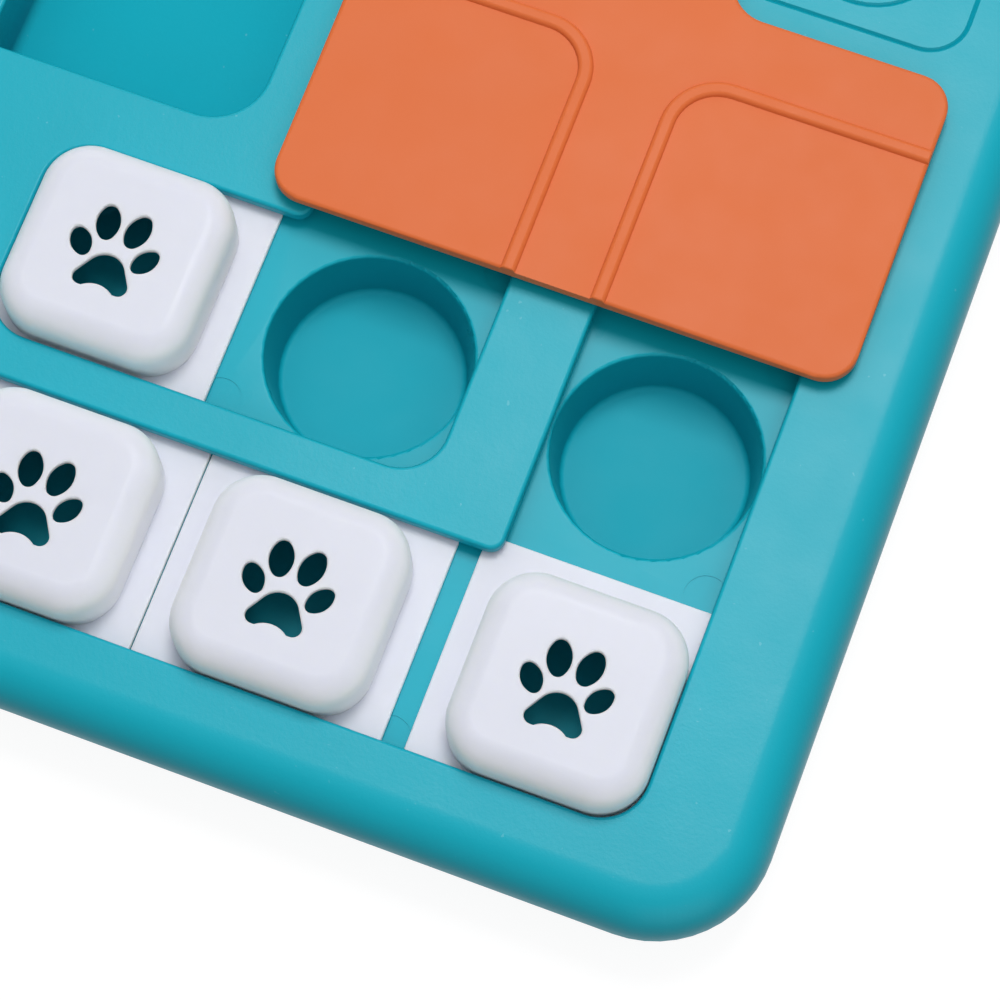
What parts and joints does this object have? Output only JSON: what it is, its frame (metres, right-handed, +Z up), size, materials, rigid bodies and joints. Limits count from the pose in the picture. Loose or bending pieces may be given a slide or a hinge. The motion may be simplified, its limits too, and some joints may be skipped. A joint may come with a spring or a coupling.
{
  "type": "dog puzzle feeder toy",
  "caption": "Square slow-feeder puzzle board: paw-holed tiles slide in channels over round treat wells, flat swivel covers turn over more wells.",
  "frame": {"origin": "centre of the board's outline, on the surface that its rubber feet stand on", "axes": "+Z up through the board's face, +X along the rows of sliding tiles, +Y to the back, the way the paws' toes point"},
  "size_m": [0.4, 0.4, 0.032],
  "materials": {
    "teal_plastic": "fine satin moulded grain",
    "tray_plastic": "smooth moulded plastic with a soft sheen",
    "tile_white": "fine satin moulded grain",
    "cover_orange": "fine satin moulded grain",
    "washer_nylon": "natural nylon",
    "screw_steel": "zinc-plated steel",
    "foot_rubber": "matte moulded rubber"
  },
  "bodies": {
    "board": {"top_frame": "teal_plastic", "compartment_pans": "teal_plastic", "base_tray": "tray_plastic", "treat_cups": "tray_plastic", "pivot_post_right": "cover_orange", "pivot_post_left": "cover_orange", "pivot_washers": "washer_nylon", "pivot_screws": "screw_steel", "case_screws": "screw_steel", "rubber_feet": "foot_rubber"},
    "inner_tile_fr": {"tile_inner_fr": "tile_white"},
    "middle_tile_fr": {"tile_middle_fr": "tile_white"},
    "side_tile_fr": {"tile_side_fr": "tile_white"},
    "corner_tile_fr": {"tile_corner_fr": "tile_white"},
    "inner_tile_fl": {"tile_inner_fl": "tile_white"},
    "middle_tile_fl": {"tile_middle_fl": "tile_white"},
    "side_tile_fl": {"tile_side_fl": "tile_white"},
    "corner_tile_fl": {"tile_corner_fl": "tile_white"},
    "inner_tile_br": {"tile_inner_br": "tile_white"},
    "middle_tile_br": {"tile_middle_br": "tile_white"},
    "side_tile_br": {"tile_side_br": "tile_white"},
    "corner_tile_br": {"tile_corner_br": "tile_white"},
    "inner_tile_bl": {"tile_inner_bl": "tile_white"},
    "middle_tile_bl": {"tile_middle_bl": "tile_white"},
    "side_tile_bl": {"tile_side_bl": "tile_white"},
    "corner_tile_bl": {"tile_corner_bl": "tile_white"},
    "swivel_right": {"swivel_cover_right": "cover_orange"},
    "swivel_left": {"swivel_cover_left": "cover_orange"}
  },
  "joints": [
    {"name": "inner_tile_fr_slide", "type": "slide", "parent": "board", "child": "inner_tile_fr", "axis": [1, 0, 0], "range_m": [0, 0.0504]},
    {"name": "middle_tile_fr_slide", "type": "slide", "parent": "board", "child": "middle_tile_fr", "axis": [1, 0, 0], "range_m": [-0.0509, 0]},
    {"name": "side_tile_fr_slide", "type": "slide", "parent": "board", "child": "side_tile_fr", "axis": [1, 0, 0], "range_m": [0, 0.0042]},
    {"name": "corner_tile_fr_slide", "type": "slide", "parent": "board", "child": "corner_tile_fr", "axis": [0, 1, 0], "range_m": [0, 0.0495]},
    {"name": "inner_tile_fl_slide", "type": "slide", "parent": "board", "child": "inner_tile_fl", "axis": [1, 0, 0], "range_m": [-0.0504, 0]},
    {"name": "middle_tile_fl_slide", "type": "slide", "parent": "board", "child": "middle_tile_fl", "axis": [1, 0, 0], "range_m": [0, 0.0509]},
    {"name": "side_tile_fl_slide", "type": "slide", "parent": "board", "child": "side_tile_fl", "axis": [1, 0, 0], "range_m": [-0.0042, 0]},
    {"name": "corner_tile_fl_slide", "type": "slide", "parent": "board", "child": "corner_tile_fl", "axis": [0, 1, 0], "range_m": [0, 0.0495]},
    {"name": "inner_tile_br_slide", "type": "slide", "parent": "board", "child": "inner_tile_br", "axis": [1, 0, 0], "range_m": [0, 0.0504]},
    {"name": "middle_tile_br_slide", "type": "slide", "parent": "board", "child": "middle_tile_br", "axis": [1, 0, 0], "range_m": [-0.0509, 0]},
    {"name": "side_tile_br_slide", "type": "slide", "parent": "board", "child": "side_tile_br", "axis": [1, 0, 0], "range_m": [0, 0.0042]},
    {"name": "corner_tile_br_slide", "type": "slide", "parent": "board", "child": "corner_tile_br", "axis": [0, 1, 0], "range_m": [-0.0495, 0]},
    {"name": "inner_tile_bl_slide", "type": "slide", "parent": "board", "child": "inner_tile_bl", "axis": [1, 0, 0], "range_m": [-0.0504, 0]},
    {"name": "middle_tile_bl_slide", "type": "slide", "parent": "board", "child": "middle_tile_bl", "axis": [1, 0, 0], "range_m": [0, 0.0509]},
    {"name": "side_tile_bl_slide", "type": "slide", "parent": "board", "child": "side_tile_bl", "axis": [1, 0, 0], "range_m": [-0.0042, 0]},
    {"name": "corner_tile_bl_slide", "type": "slide", "parent": "board", "child": "corner_tile_bl", "axis": [0, 1, 0], "range_m": [-0.0495, 0]},
    {"name": "swivel_right_turn", "type": "hinge", "parent": "board", "child": "swivel_right", "pos_m": [0.1257, 0, 0.0258], "axis": [0, 0, 1], "continuous": true},
    {"name": "swivel_left_turn", "type": "hinge", "parent": "board", "child": "swivel_left", "pos_m": [-0.1257, 0, 0.0258], "axis": [0, 0, 1], "continuous": true}
  ]
}
